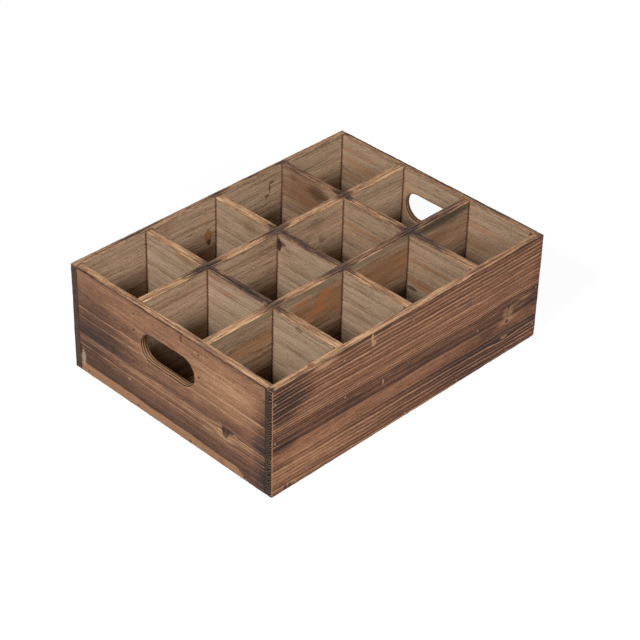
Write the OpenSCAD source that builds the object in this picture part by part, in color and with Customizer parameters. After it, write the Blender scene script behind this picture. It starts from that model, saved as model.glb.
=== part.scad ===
// A scorched fir storage crate with a grid of twelve cells. Two full-length sides are
// nailed over two end boards with hand holes. Half-lapped dividers stand on a thin
// bottom board that is let in between the walls. X runs along the crate, Y across it,
// and the origin is at the middle of the underside.

/* [Walls] */
// Length over the ends of the sides
crate_l = 400; // [330:1:480]
// Width over the faces of the two sides
crate_w = 300; // [250:1:360]
// Height from the underside to the rim
crate_h = 132; // [110:1:170]
// Thickness of the long sides
side_t = 9; // [8:0.5:14]
// Thickness of the end boards
end_t = 9; // [8:0.5:14]
// How far the end boards lie back from the ends of the sides
end_inset = 0.3; // [0:0.1:1]
// Rounding of the outer long edges and of the four upright corners
edge_round = 1.2; // [0.5:0.1:3]
// Rounding of the inner edges along the rim
inner_round = 0.8; // [0.3:0.1:1.5]
// Wear at the corners of each side, seen from the front
corner_wear = 3; // [1:0.5:6]

/* [Bottom] */
// Thickness of the bottom board
bottom_t = 7; // [5:0.5:12]
// Gap between the bottom board and each wall
bottom_gap = 0.2; // [0.1:0.1:0.6]

/* [Dividers] */
// Thickness of each divider
divider_t = 10; // [7:0.5:12]
// Distance between the middles of two cross dividers
column_pitch = 100; // [80:1:104]
// Distance between the middles of the two long dividers
row_pitch = 97; // [95:1:102]
// How far the long dividers and the hand holes stand off the middle, towards the back
grid_shift = 1.5; // [0:0.5:3]
// Rounding of the dividers' upper edges
divider_round = 0.7; // [0.3:0.1:1.5]
// Gap on each side of a half-lapped crossing
lap_gap = 0.2; // [0.1:0.1:0.6]

/* [Hand holes] */
// Length of a hand hole, from end to end
handle_l = 80; // [50:1:84]
// Height of a hand hole
handle_h = 35; // [24:1:44]
// Depth of the hole's middle below the rim
handle_drop = 45; // [36:1:60]
// Rounding of the hole's edges
handle_round = 1.8; // [0.5:0.1:3]

/* [Nails] */
// Length of a nail, head included
nail_l = 28; // [22:1:34]
// Diameter of a nail's shank
nail_d = 1.4; // [1:0.1:1.8]
// Diameter of a nail's head
nail_head_d = 2.4; // [2:0.1:3]
// Thickness of a nail's head
nail_head_t = 0.8; // [0.5:0.1:1.2]
// How deep the heads are set below the wood
nail_set = 0.4; // [0.1:0.1:1]
// Gap round a nail in its hole
nail_gap = 0.05; // [0.02:0.01:0.1]
// Depth of the upper nail of each divider below the rim
upper_nail_drop = 13; // [10:1:20]
// Depth of the lower nail of each cross divider below the rim, in turn
cross_nail_drops = [60, 40, 78];
// Depth of the lower nail of each long divider below the rim, in turn
long_nail_drops = [40, 33];
// How far a nail may wander from the middle of its divider
nail_stray = 1.5; // [0:0.1:2]
// Depth of the highest and lowest corner nails below the rim and above the underside
corner_nail_margin = 18; // [14:1:30]
// Distance from the front corner to the first bottom nail in an end
end_first_nail = 39; // [30:1:60]
// Distance from the left corner to the first bottom nail in a side
side_first_nail = 33; // [30:1:60]
// Distance between two bottom nails
bottom_nail_pitch = 80; // [60:1:110]

/* [Hidden] */
$fn = 48;
// How far a cutter runs past the face it cuts
cut_over = 1;
column_count = 4;
row_count = 3;
left_face = -crate_l/2 + end_inset;
inner_l = crate_l - 2*(end_inset + end_t);
inner_w = crate_w - 2*side_t;
divider_h = crate_h - bottom_t;
lap_z = bottom_t + divider_h/2;
cross_xs = [for (i = [1:column_count - 1]) (i - column_count/2)*column_pitch];
long_ys = [for (j = [1:row_count - 1]) (j - row_count/2)*row_pitch + grid_shift];
corner_x = crate_l/2 - end_inset - end_t/2;
corner_nail_zs = [corner_nail_margin, crate_h/2, crate_h - corner_nail_margin];
// The last bottom nail keeps at least this far from the far corner
last_nail_margin = side_t + end_t;
side_bottom_xs = [for (d = [side_first_nail : bottom_nail_pitch : crate_l - last_nail_margin]) d - crate_l/2];
end_bottom_ys = [for (d = [end_first_nail : bottom_nail_pitch : crate_w - last_nail_margin]) d - crate_w/2];

// Nails of a side, as places along X and heights
function cross_nails() = [for (i = [0:len(cross_xs) - 1], upper = [true, false])
    [cross_xs[i] + (upper ? -1 : 1)*nail_stray,
     crate_h - (upper ? upper_nail_drop : cross_nail_drops[i % len(cross_nail_drops)])]];
function corner_nails(end) = [for (z = corner_nail_zs) [end*corner_x, z]];
function side_bottom_nails() = [for (x = side_bottom_xs) [x, bottom_t/2]];
// Nails of an end, as places along Y and heights
function long_nails() = [for (j = [0:len(long_ys) - 1], upper = [true, false])
    [long_ys[j] + nail_stray,
     crate_h - (upper ? upper_nail_drop : long_nail_drops[j % len(long_nail_drops)])]];
function end_bottom_nails() = [for (y = end_bottom_ys) [y, bottom_t/2]];

FRAME_NODES = ["front_side", "back_side", "left_end", "right_end", "bottom_board"];
LONG_NODES = [for (j = [1:row_count - 1]) str("long_divider_", j)];
CROSS_NODES = [for (i = [1:column_count - 1]) str("cross_divider_", i)];
WALL_NAMES = ["front", "back", "left", "right"];
DIVIDER_NAIL_NODES = [for (wall = WALL_NAMES) str(wall, "_divider_nails")];
BOTTOM_NAIL_NODES = [for (wall = WALL_NAMES) str(wall, "_bottom_nails")];
CORNER_NAIL_NODES = [for (side = ["front", "back"], end = ["left", "right"])
    str(side, "_", end, "_corner_nails")];

// A rectangle from the origin, with one rounding for each corner, counted from the
// origin anticlockwise
module eased_rect(w, h, rounds) {
    corners = [[0, 0], [w, 0], [w, h], [0, h]];
    inward = [[1, 1], [-1, 1], [-1, -1], [1, -1]];
    difference() {
        square([w, h]);
        for (k = [0:3])
            if (rounds[k] > 0)
                translate(corners[k]) difference() {
                    translate([-cut_over, -cut_over]
                        + [for (a = [0, 1]) inward[k][a] > 0 ? 0 : cut_over - rounds[k]])
                        square(rounds[k] + cut_over);
                    translate(rounds[k]*inward[k]) circle(rounds[k]);
                }
    }
}

// The front side: end profile, plan and face outline meet in the eased plank
module side_plank() {
    translate([-crate_l/2, -crate_w/2, 0]) intersection() {
        rotate([90, 0, 90]) linear_extrude(crate_l)
            eased_rect(side_t, crate_h, [edge_round, 0, inner_round, edge_round]);
        linear_extrude(crate_h)
            eased_rect(crate_l, side_t, [edge_round, edge_round, 0, 0]);
        translate([0, side_t, 0]) rotate([90, 0, 0]) linear_extrude(side_t)
            eased_rect(crate_l, crate_h, [for (k = [0:3]) corner_wear]);
    }
}

// The left end, without its holes
module end_plank() {
    translate([left_face, inner_w/2, 0]) rotate([90, 0, 0]) linear_extrude(inner_w)
        eased_rect(end_t, crate_h, [edge_round, 0, inner_round, edge_round]);
}

// The rounding of a hand hole's edge, as a section beside the hole's wall
module lip_section() {
    difference() {
        translate([handle_h/2 - cut_over, -cut_over]) square(handle_round + cut_over);
        translate([handle_h/2 + handle_round, handle_round]) circle(handle_round);
    }
}

// Both ends and the straight runs of one edge of a hand hole, cut into the plane z = 0
module handle_lip() {
    run = handle_l - handle_h;
    for (end = [-1, 1])
        translate([end*run/2, 0, 0]) {
            rotate_extrude() intersection() {
                lip_section();
                translate([0, -cut_over]) square(handle_h + handle_round);
            }
        }
    for (turn = [0, 180])
        rotate([0, 0, turn]) translate([-run/2, 0, 0])
            rotate([90, 0, 90]) linear_extrude(run) lip_section();
}

// The hand hole, along Z through a board that spans 0 to end_t
module hand_hole() {
    run = handle_l - handle_h;
    translate([0, 0, -cut_over]) {
        for (end = [-1, 1])
            translate([end*run/2, 0, 0]) cylinder(d = handle_h, h = end_t + 2*cut_over);
        translate([-run/2, -handle_h/2, 0]) cube([run, handle_h, end_t + 2*cut_over]);
    }
    handle_lip();
    translate([0, 0, end_t]) mirror([0, 0, 1]) handle_lip();
}

// One nail along Z, its head just below the plane z = 0
module nail() {
    tip = nail_d;
    translate([0, 0, nail_set]) {
        cylinder(d = nail_head_d, h = nail_head_t);
        cylinder(d = nail_d, h = nail_l - tip);
        translate([0, 0, nail_l - tip]) cylinder(d1 = nail_d, d2 = nail_d/4, h = tip);
    }
}

// The hole that a nail leaves
module nail_bore() {
    translate([0, 0, -cut_over])
        cylinder(d = nail_head_d + 2*nail_gap, h = cut_over + nail_set + nail_head_t + nail_gap);
    cylinder(d = nail_d + 2*nail_gap, h = nail_set + nail_l + nail_gap);
}

// Children, driven into the front side at each place
module on_side(places) {
    for (p = places)
        translate([p[0], -crate_w/2, p[1]]) rotate([-90, 0, 0]) children();
}

// Children, driven into the left end at each place
module on_end(places) {
    for (p = places)
        translate([left_face, p[0], p[1]]) rotate([0, 90, 0]) children();
}

// All holes that the nails of one side make, in every board they reach
module side_bores() {
    on_side(cross_nails()) nail_bore();
    on_side(side_bottom_nails()) nail_bore();
    for (end = [-1, 1])
        on_side(corner_nails(end)) nail_bore();
}

// All holes that the nails of one end make, in every board they reach
module end_bores() {
    on_end(long_nails()) nail_bore();
    on_end(end_bottom_nails()) nail_bore();
}

module both_sides() {
    children();
    mirror([0, 1, 0]) children();
}

module both_ends() {
    children();
    mirror([1, 0, 0]) children();
}

module front_side() {
    color([0.42, 0.28, 0.19]) difference() {
        side_plank();
        side_bores();
    }
}

module left_end() {
    color([0.46, 0.31, 0.21]) difference() {
        end_plank();
        translate([left_face, grid_shift, crate_h - handle_drop]) rotate([90, 0, 90]) hand_hole();
        end_bores();
        both_sides() side_bores();
    }
}

// The bottom board, caught between the four walls
module bottom_board() {
    l = inner_l - 2*bottom_gap;
    w = inner_w - 2*bottom_gap;
    color([0.52, 0.42, 0.31]) difference() {
        translate([-l/2, -w/2, 0]) cube([l, w, bottom_t]);
        both_sides() on_side(side_bottom_nails()) nail_bore();
        both_ends() on_end(end_bottom_nails()) nail_bore();
    }
}

// A divider's board along X, standing on the bottom board
module divider_plank(l) {
    translate([-l/2, -divider_t/2, bottom_t]) rotate([90, 0, 90]) linear_extrude(l)
        eased_rect(divider_t, divider_h, [0, 0, divider_round, divider_round]);
}

// A long divider, slotted from below at each crossing
module long_divider(j) {
    slot_w = divider_t + 2*lap_gap;
    color([0.58, 0.46, 0.33]) difference() {
        translate([0, long_ys[j - 1], 0]) divider_plank(inner_l);
        for (x = cross_xs)
            translate([x - slot_w/2, long_ys[j - 1] - divider_t, bottom_t - cut_over])
                cube([slot_w, 2*divider_t, divider_h/2 + cut_over]);
        both_ends() end_bores();
    }
}

// A cross divider, notched from above at each crossing
module cross_divider(i) {
    slot_w = divider_t + 2*lap_gap;
    color([0.55, 0.43, 0.31]) difference() {
        translate([cross_xs[i - 1], 0, 0]) rotate([0, 0, 90]) divider_plank(inner_w);
        for (y = long_ys)
            translate([cross_xs[i - 1] - divider_t, y - slot_w/2, lap_z])
                cube([2*divider_t, slot_w, divider_h]);
        both_sides() side_bores();
    }
}

module nail_color() {
    color([0.3, 0.29, 0.28]) children();
}

front_side();
mirror([0, 1, 0]) front_side();  // back_side
left_end();
mirror([1, 0, 0]) left_end();  // right_end
bottom_board();
for (j = [1:row_count - 1])
    long_divider(j);
for (i = [1:column_count - 1])
    cross_divider(i);
nail_color() on_side(cross_nails()) nail();  // front_divider_nails
nail_color() mirror([0, 1, 0]) on_side(cross_nails()) nail();  // back_divider_nails
nail_color() on_end(long_nails()) nail();  // left_divider_nails
nail_color() mirror([1, 0, 0]) on_end(long_nails()) nail();  // right_divider_nails
nail_color() on_side(corner_nails(-1)) nail();  // front_left_corner_nails
nail_color() on_side(corner_nails(1)) nail();  // front_right_corner_nails
nail_color() mirror([0, 1, 0]) on_side(corner_nails(-1)) nail();  // back_left_corner_nails
nail_color() mirror([0, 1, 0]) on_side(corner_nails(1)) nail();  // back_right_corner_nails
nail_color() on_side(side_bottom_nails()) nail();  // front_bottom_nails
nail_color() mirror([0, 1, 0]) on_side(side_bottom_nails()) nail();  // back_bottom_nails
nail_color() on_end(end_bottom_nails()) nail();  // left_bottom_nails
nail_color() mirror([1, 0, 0]) on_end(end_bottom_nails()) nail();  // right_bottom_nails
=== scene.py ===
# %% [markdown]
# # A scorched fir crate with twelve cells
# The crate is nailed together from ten boards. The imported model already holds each
# board at its real size and place, so this lesson gives every board a worn body of its
# own and a wood that is cut from growth rings, as real wood is.

# %% Load the frame
import math

import bmesh
import bpy
from mathutils import Matrix, Vector


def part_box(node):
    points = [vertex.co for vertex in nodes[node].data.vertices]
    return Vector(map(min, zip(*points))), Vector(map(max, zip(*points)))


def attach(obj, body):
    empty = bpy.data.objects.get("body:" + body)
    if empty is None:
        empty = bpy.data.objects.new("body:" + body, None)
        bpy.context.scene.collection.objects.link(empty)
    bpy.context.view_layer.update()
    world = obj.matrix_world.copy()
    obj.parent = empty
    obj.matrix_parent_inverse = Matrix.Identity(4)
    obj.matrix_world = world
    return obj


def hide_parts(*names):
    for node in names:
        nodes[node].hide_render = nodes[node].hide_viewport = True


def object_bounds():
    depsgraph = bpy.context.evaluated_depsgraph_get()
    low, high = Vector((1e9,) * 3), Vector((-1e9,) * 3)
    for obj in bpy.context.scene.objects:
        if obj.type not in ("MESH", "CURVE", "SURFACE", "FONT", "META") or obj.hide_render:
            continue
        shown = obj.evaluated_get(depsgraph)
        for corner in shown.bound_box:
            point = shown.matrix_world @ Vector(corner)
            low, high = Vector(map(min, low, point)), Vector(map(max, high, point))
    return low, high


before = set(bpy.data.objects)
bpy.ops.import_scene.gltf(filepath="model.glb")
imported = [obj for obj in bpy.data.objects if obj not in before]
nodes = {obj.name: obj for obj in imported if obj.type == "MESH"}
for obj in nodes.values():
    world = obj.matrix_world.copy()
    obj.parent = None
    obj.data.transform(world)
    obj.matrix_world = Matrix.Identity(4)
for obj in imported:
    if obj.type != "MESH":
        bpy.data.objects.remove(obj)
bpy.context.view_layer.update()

# %% [markdown]
# ## Working by hand, in code
# An edit-mode tool acts on everything that is selected, and loading leaves all nodes
# selected. One helper therefore opens a single board in edit mode with nothing
# selected, and each tool then gets only the edges or faces that it is meant for.

# %% Open one mesh for editing
MM = 0.001


def only(piece):
    """Selects this piece and nothing else."""
    bpy.ops.object.select_all(action="DESELECT")
    piece.select_set(True)
    bpy.context.view_layer.objects.active = piece


def opened(piece, elements="EDGE"):
    """This piece's mesh in edit mode, with nothing selected."""
    only(piece)
    bpy.ops.object.mode_set(mode="EDIT")
    bpy.ops.mesh.select_mode(type=elements)
    bpy.ops.mesh.select_all(action="DESELECT")
    return bmesh.from_edit_mesh(piece.data)


def closed(piece):
    """Back to object mode."""
    bpy.ops.object.mode_set(mode="OBJECT")
    return piece


def finished(piece, kind, **settings):
    """Adds one modifier with these settings and applies it."""
    only(piece)
    modifier = piece.modifiers.new(kind.title(), kind)
    for name, value in settings.items():
        setattr(modifier, name, value)
    bpy.ops.object.modifier_apply(modifier=modifier.name)
    return piece


# %% [markdown]
# ## A board
# A sawn board is a block whose edges were eased with a sanding block, some more than
# others: the outer edges are round, and those that meet another board are nearly sharp.
# A bevel with a weight for each edge does that in one step, because the widest bevel
# times the weight is that edge's rounding.

# %% A block with eased edges
SHARP = 0.25
EASED = 0.6
ROUND = 1.1
WORN = 1.8
AXES = "XYZ"


def block(name, low, high):
    """A plain box between two corners, its place in its mesh."""
    low, high = Vector(low), Vector(high)
    bpy.ops.object.select_all(action="DESELECT")
    bpy.ops.mesh.primitive_cube_add(size=1, location=(low + high) / 2)
    piece = bpy.context.object
    piece.name = name
    piece.scale = high - low
    bpy.ops.object.transform_apply(location=True, rotation=True, scale=True)
    return piece


def corner_signs(mesh, edge, centre):
    """The axis that an edge runs along, and on which side it lies along the other two."""
    first, second = (mesh.vertices[v].co for v in edge.vertices)
    run, middle = second - first, (first + second) / 2
    axis = max(range(3), key=lambda a: abs(run[a]))
    others = [a for a in range(3) if a != axis]
    return (AXES[axis],) + tuple(1 if middle[a] > centre[a] else -1 for a in others)


def ease(piece, rounds):
    """Rounds the edges of a block. rounds gives millimetres by axis and sides."""
    mesh = piece.data
    centre = sum((v.co for v in mesh.vertices), Vector()) / len(mesh.vertices)
    weights = mesh.attributes.new("bevel_weight_edge", "FLOAT", "EDGE")
    for edge in mesh.edges:
        rounding = rounds.get(corner_signs(mesh, edge, centre), SHARP)
        weights.data[edge.index].value = rounding / WORN
    return finished(piece, "BEVEL", limit_method="WEIGHT", width=WORN * MM, segments=3)


# %% [markdown]
# The eased block gets a fine grid, so that its edges can be worn. Cutting every edge
# that runs one way makes a row of rings round the board, as a loop cut would. Loop cut
# itself needs a window, and subdividing the chosen edges gives the same rings.

# %% Cut rings across a board
STRAIGHT = 0.98
SHORTEST_CUT = 3.2


def ring_cuts(piece, axis, step):
    """Cuts a board across one axis, about every step millimetres."""
    mesh = opened(piece)
    longest = 0.0
    for edge in mesh.edges:
        run = edge.verts[1].co - edge.verts[0].co
        if abs(run[axis]) > STRAIGHT * run.length and run.length > SHORTEST_CUT * MM:
            edge.select = True
            longest = max(longest, run.length)
    cuts = max(1, round(longest / (step * MM)) - 1)
    bmesh.update_edit_mesh(piece.data)
    bpy.ops.mesh.subdivide(number_cuts=cuts)
    return closed(piece)


# %% [markdown]
# Use rounds and dents the edges of a crate first. The vertices near each eased edge go
# into a group, and a Displace modifier pushes that group inwards by a cloud pattern. A
# second, wider cloud gives the whole board the faint waves of planed softwood.

# %% Wear along the edges
def cloud(name, size):
    """A cloud pattern for the Displace modifier, its lumps about size millimetres."""
    pattern = bpy.data.textures.new(name, "CLOUDS")
    pattern.noise_scale = size * MM
    pattern.noise_depth = 2
    return pattern


SMALL_DENTS = cloud("small_dents", 7)
PLANED_WAVES = cloud("planed_waves", 60)
WEAR_REACH = 4.0


def wear(piece, low, high, rounds, depth=0.8, waves=0.5):
    """Dents the eased edges by up to depth, and waves the faces, in millimetres."""
    group = piece.vertex_groups.new(name="eased_edges")
    for vertex in piece.data.vertices:
        weight = 0.0
        for (axis, *sides), radius in rounds.items():
            if radius <= SHARP:
                continue
            others = [a for a in range(3) if AXES[a] != axis]
            away = [vertex.co[a] - (high if side > 0 else low)[a]
                    for a, side in zip(others, sides)]
            weight = max(weight, 1 - math.hypot(*away) / (WEAR_REACH * MM))
        if weight > 0:
            group.add([vertex.index], weight, "REPLACE")
    finished(piece, "DISPLACE", texture=SMALL_DENTS, texture_coords="LOCAL",
             vertex_group=group.name, strength=-depth * MM, mid_level=0.45)
    return finished(piece, "DISPLACE", texture=PLANED_WAVES, texture_coords="LOCAL",
                    strength=waves * MM, mid_level=0.5)


# %% [markdown]
# Holes, notches and pockets are cut with the Boolean modifier: the cutter is modelled
# first, subtracted, and thrown away.

# %% Cut a shape out of a board
def carve(piece, cutter):
    """Cuts the cutter out of the piece and removes it."""
    finished(piece, "BOOLEAN", operation="DIFFERENCE", solver="EXACT", object=cutter)
    bpy.data.meshes.remove(cutter.data)
    return piece


def joined(name, parts):
    """Several meshes made one."""
    bpy.ops.object.select_all(action="DESELECT")
    for part in parts:
        part.select_set(True)
    bpy.context.view_layer.objects.active = parts[0]
    bpy.ops.object.join()
    parts[0].name = name
    return parts[0]


def smoothed(piece, angle=38):
    """Smooth over the eased edges, sharp at the corners of cuts."""
    only(piece)
    bpy.ops.object.shade_smooth_by_angle(angle=math.radians(angle))
    return piece


# %% [markdown]
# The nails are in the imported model, each in a close hole of its board. A nail head sits
# a little below the wood, so each board needs a pocket where a head is. The middle of
# each head is measured on the nail nodes.

# %% Find the nail heads
SAME_PLACE = 0.005


def loose_parts(node):
    """The box of each separate solid in a node, as pairs of corners."""
    mesh = bmesh.new()
    mesh.from_mesh(node.data)
    bmesh.ops.remove_doubles(mesh, verts=mesh.verts, dist=SAME_PLACE * MM)
    boxes, seen = [], set()
    for start in mesh.verts:
        if start in seen:
            continue
        stack, found = [start], []
        seen.add(start)
        while stack:
            here = stack.pop()
            found.append(here.co)
            for edge in here.link_edges:
                other = edge.other_vert(here)
                if other not in seen:
                    seen.add(other)
                    stack.append(other)
        boxes.append([Vector(pick(co[a] for co in found) for a in range(3))
                      for pick in (min, max)])
    mesh.free()
    return boxes


def wall_nails(wall):
    """The boxes of all nails driven through one wall."""
    wanted = [name for name in nodes if name.startswith(wall) and name.endswith("_nails")]
    return [pair for name in sorted(wanted) for pair in loose_parts(nodes[name])]


NAILS = {wall: wall_nails(wall) for wall in ("front", "back", "left", "right")}
print("nails in each wall:", {wall: len(boxes) for wall, boxes in NAILS.items()})

# %% [markdown]
# A pocket is a short cylinder a hair wider than the head, with a bevelled mouth that the
# hammer crushed. It runs from outside the wall to just past the head.

# %% Nail pockets
HEAD_RADIUS = 1.2
POCKET_PLAY = 0.12
POCKET_DEPTH = 1.3
POCKET_FLARE = 1.35
OUTSIDE = 1.0


def pockets(wall, axis, face):
    """One cutter for all nail pockets of a wall. face is the wall's outer plane."""
    out = -1 if face < 0 else 1
    parts = []
    for low, high in NAILS[wall]:
        middle = (low + high) / 2
        middle[axis] = face - out * (POCKET_DEPTH - OUTSIDE) / 2 * MM
        bpy.ops.object.select_all(action="DESELECT")
        bpy.ops.mesh.primitive_cylinder_add(
            vertices=14, radius=(HEAD_RADIUS + POCKET_PLAY) * MM,
            depth=(POCKET_DEPTH + OUTSIDE) * MM, location=middle,
            rotation=(math.pi / 2, 0, 0) if axis == 1 else (0, math.pi / 2, 0))
        part = bpy.context.object
        bpy.ops.object.transform_apply(location=True, rotation=True, scale=True)
        mesh = opened(part, "FACE")
        for cap in mesh.faces:
            cap.select = cap.normal[axis] * out > 0.9
        bmesh.update_edit_mesh(part.data)
        bpy.ops.transform.resize(value=(POCKET_FLARE,) * 3)
        parts.append(closed(part))
    return joined(wall + "_pockets", parts)


# %% [markdown]
# ## The two sides
# The long sides run the full length of the crate and show their end grain at the
# corners. Their outer edges are the most worn.

# %% Model the sides
STEP_ALONG = 2.5
STEP_ACROSS = 6.0
STEP_THROUGH = 3.0


def side_plank(name, node, wall):
    """A side plank in place of a CAD node, worn, with its nail pockets."""
    low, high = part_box(node)
    out = -1 if wall == "front" else 1
    rounds = {("X", out, -1): ROUND, ("X", out, 1): ROUND, ("X", -out, 1): EASED,
              ("Z", -1, out): ROUND, ("Z", 1, out): ROUND, ("Z", -1, -out): EASED,
              ("Z", 1, -out): EASED}
    for end in (-1, 1):
        for edge in (-1, 1):
            rounds["Y", end, edge] = WORN
    plank = ease(block(name, low, high), rounds)
    ring_cuts(plank, 0, STEP_ALONG)
    ring_cuts(plank, 2, STEP_ACROSS)
    ring_cuts(plank, 1, STEP_THROUGH)
    wear(plank, low, high, rounds)
    face = low.y if out < 0 else high.y
    carve(plank, pockets(wall, 1, face))
    smoothed(plank)
    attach(plank, "root")
    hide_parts(node)
    print(name, "has", len(plank.data.polygons), "faces")
    return plank


front_plank = side_plank("front_plank", "front_side", "front")
back_plank = side_plank("back_plank", "back_side", "back")

# %% [markdown]
# ## The two ends
# Each end stands between the sides and has a hand hole, a slot with round ends whose
# edges were rounded over. The cutter is a reel: a disc is extruded along its axis, each
# ring scaled to follow the round-over. Its two halves are then pulled apart, which turns
# every ring into an oblong.

# %% The hand hole's cutter
HOLE_LENGTH, HOLE_HEIGHT = 80.0, 35.0
HOLE_DROP = 45.0
HOLE_MIDDLE = 1.5
HOLE_ROUND = 1.8
ROUND_STEPS = 5
RING_POINTS = 62
CUT_OVER = 2.0


def hand_hole_cutter(low, high):
    """A reel across the board between two corners, pulled into an oblong."""
    radius = HOLE_HEIGHT / 2
    depth = (high.x - low.x) / MM
    height = high.z - HOLE_DROP * MM
    middle = HOLE_MIDDLE * MM
    rings = [(-CUT_OVER, radius)]
    for k in range(ROUND_STEPS, -1, -1):
        turn = math.pi / 2 * k / ROUND_STEPS
        rings.append((HOLE_ROUND * (1 - math.sin(turn)),
                      radius + HOLE_ROUND * (1 - math.cos(turn))))
    rings += [(depth - d, r) for d, r in reversed(rings)]
    bpy.ops.object.select_all(action="DESELECT")
    bpy.ops.mesh.primitive_circle_add(
        vertices=RING_POINTS, radius=rings[0][1] * MM, fill_type="NGON",
        location=(low.x + rings[0][0] * MM, middle, height), rotation=(0, math.pi / 2, 0))
    cutter = bpy.context.object
    bpy.ops.object.transform_apply(location=True, rotation=True, scale=True)
    opened(cutter, "VERT")
    bpy.ops.mesh.select_all(action="SELECT")
    bpy.ops.transform.rotate(value=math.pi / RING_POINTS, orient_axis="X",
                             center_override=(low.x, middle, height))
    for (d0, r0), (d1, r1) in zip(rings, rings[1:]):
        further = ((d1 - d0) * MM, 0, 0)
        bpy.ops.mesh.extrude_region_move(TRANSFORM_OT_translate={"value": further})
        if r1 != r0:
            bpy.ops.transform.resize(value=(1, r1 / r0, r1 / r0),
                                     center_override=(low.x, middle, height))
    bpy.ops.mesh.select_all(action="SELECT")
    bpy.ops.mesh.normals_make_consistent(inside=False)
    for side in (-1, 1):
        bpy.ops.mesh.select_all(action="DESELECT")
        mesh = bmesh.from_edit_mesh(cutter.data)
        for vertex in mesh.verts:
            vertex.select = (vertex.co.y - middle) * side > 0
        bmesh.update_edit_mesh(cutter.data)
        shift = side * (HOLE_LENGTH - HOLE_HEIGHT) / 2 * MM
        bpy.ops.transform.translate(value=(0, shift, 0))
    return closed(cutter)


# %% [markdown]
# A splinter came off the left end beside its back corner. A stretched ball, dented so that
# no two sides are alike, scoops it out of the face.

# %% The splinter's cutter
SPLINTER_REACH = (1.2, 3.6, 13.0)
SPLINTER_LEAN = -10
SPLINTER_OUT, SPLINTER_Y, SPLINTER_Z = 0.15, 136.8, 21.0


def splinter_cutter(face):
    """A long dented lump that reaches a little into the left end."""
    bpy.ops.object.select_all(action="DESELECT")
    bpy.ops.mesh.primitive_ico_sphere_add(subdivisions=4, radius=1, location=(0, 0, 0))
    lump = bpy.context.object
    lump.scale = Vector(SPLINTER_REACH) * MM
    lump.rotation_euler = (math.radians(SPLINTER_LEAN), 0, 0)
    lump.location = (face + SPLINTER_OUT * MM, SPLINTER_Y * MM, SPLINTER_Z * MM)
    bpy.ops.object.transform_apply(location=True, rotation=True, scale=True)
    return finished(lump, "DISPLACE", texture=SMALL_DENTS, texture_coords="LOCAL",
                    strength=1.2 * MM, mid_level=0.5)


# %% Model the ends
def end_plank(name, node, wall):
    """An end plank in place of a CAD node, with its hand hole and nail pockets."""
    low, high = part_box(node)
    out = -1 if wall == "left" else 1
    rounds = {("Y", out, 1): ROUND, ("Y", out, -1): ROUND, ("Y", -out, 1): EASED,
              ("Z", out, -1): EASED, ("Z", out, 1): EASED}
    plank = ease(block(name, low, high), rounds)
    ring_cuts(plank, 1, STEP_ALONG)
    ring_cuts(plank, 2, STEP_ACROSS)
    ring_cuts(plank, 0, STEP_THROUGH)
    carve(plank, hand_hole_cutter(low, high))
    wear(plank, low, high, rounds)
    face = low.x if out < 0 else high.x
    carve(plank, pockets(wall, 0, face))
    if wall == "left":
        carve(plank, splinter_cutter(low.x))
    smoothed(plank)
    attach(plank, "root")
    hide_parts(node)
    print(name, "has", len(plank.data.polygons), "faces")
    return plank


left_plank = end_plank("left_plank", "left_end", "left")
right_plank = end_plank("right_plank", "right_end", "right")

# %% [markdown]
# ## The grid of dividers
# The dividers cross in half laps: the long ones are slotted from below and stay whole
# along their top, and the cross ones are notched from above. Each notch is cut at the
# place of the board that sits in it, a little wider than that board.

# %% Model the dividers
DIVIDER_ROUND = 0.7
LAP_GAP = 0.2
LONG_NODES = ["long_divider_1", "long_divider_2"]
CROSS_NODES = ["cross_divider_1", "cross_divider_2", "cross_divider_3"]


def divider(name, node, along, others, from_below):
    """A divider board in place of a CAD node, lapped with the boards that cross it."""
    low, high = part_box(node)
    rounds = {(AXES[along], side, 1): DIVIDER_ROUND for side in (-1, 1)}
    board = ease(block(name, low, high), rounds)
    ring_cuts(board, along, STEP_ALONG)
    ring_cuts(board, 2, STEP_ACROSS)
    wear(board, low, high, rounds, depth=0.6, waves=0.4)
    middle = (low.z + high.z) / 2
    cutters = []
    for other in others:
        other_low, other_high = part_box(other)
        notch_low, notch_high = low.copy(), high.copy()
        notch_low[along] = other_low[along] - LAP_GAP * MM
        notch_high[along] = other_high[along] + LAP_GAP * MM
        across = 1 - along
        notch_low[across] -= CUT_OVER * MM
        notch_high[across] += CUT_OVER * MM
        if from_below:
            notch_low.z, notch_high.z = low.z - CUT_OVER * MM, middle
        else:
            notch_low.z, notch_high.z = middle, high.z + CUT_OVER * MM
        cutters.append(block("notch", notch_low, notch_high))
    carve(board, joined("notches", cutters))
    smoothed(board)
    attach(board, "root")
    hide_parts(node)
    print(name, "has", len(board.data.polygons), "faces")
    return board


long_boards = [divider(f"long_board_{k + 1}", node, 0, CROSS_NODES, True)
               for k, node in enumerate(LONG_NODES)]
cross_boards = [divider(f"cross_board_{k + 1}", node, 1, LONG_NODES, False)
                for k, node in enumerate(CROSS_NODES)]

# %% [markdown]
# ## The bottom
# The bottom is a thin board let in between the walls. It is seen from below and, deep in
# the cells, from above.

# %% Model the bottom
BOTTOM_STEP = 10.0
BOTTOM_WAVES = 0.3

floor_board = ease(block("floor_board", *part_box("bottom_board")), {})
ring_cuts(floor_board, 0, BOTTOM_STEP)
ring_cuts(floor_board, 1, BOTTOM_STEP)
finished(floor_board, "DISPLACE", texture=PLANED_WAVES, texture_coords="LOCAL",
         strength=BOTTOM_WAVES * MM, mid_level=0.5)
smoothed(floor_board)
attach(floor_board, "root")
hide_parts("bottom_board")
print("floor_board has", len(floor_board.data.polygons), "faces")

# %% [markdown]
# ## Writing shader maths as sums
# A wood needs a good deal of arithmetic on places. Wrapping a node's socket in a small
# class lets Python's own operators add the Math nodes, so a formula reads as a formula.

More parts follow.
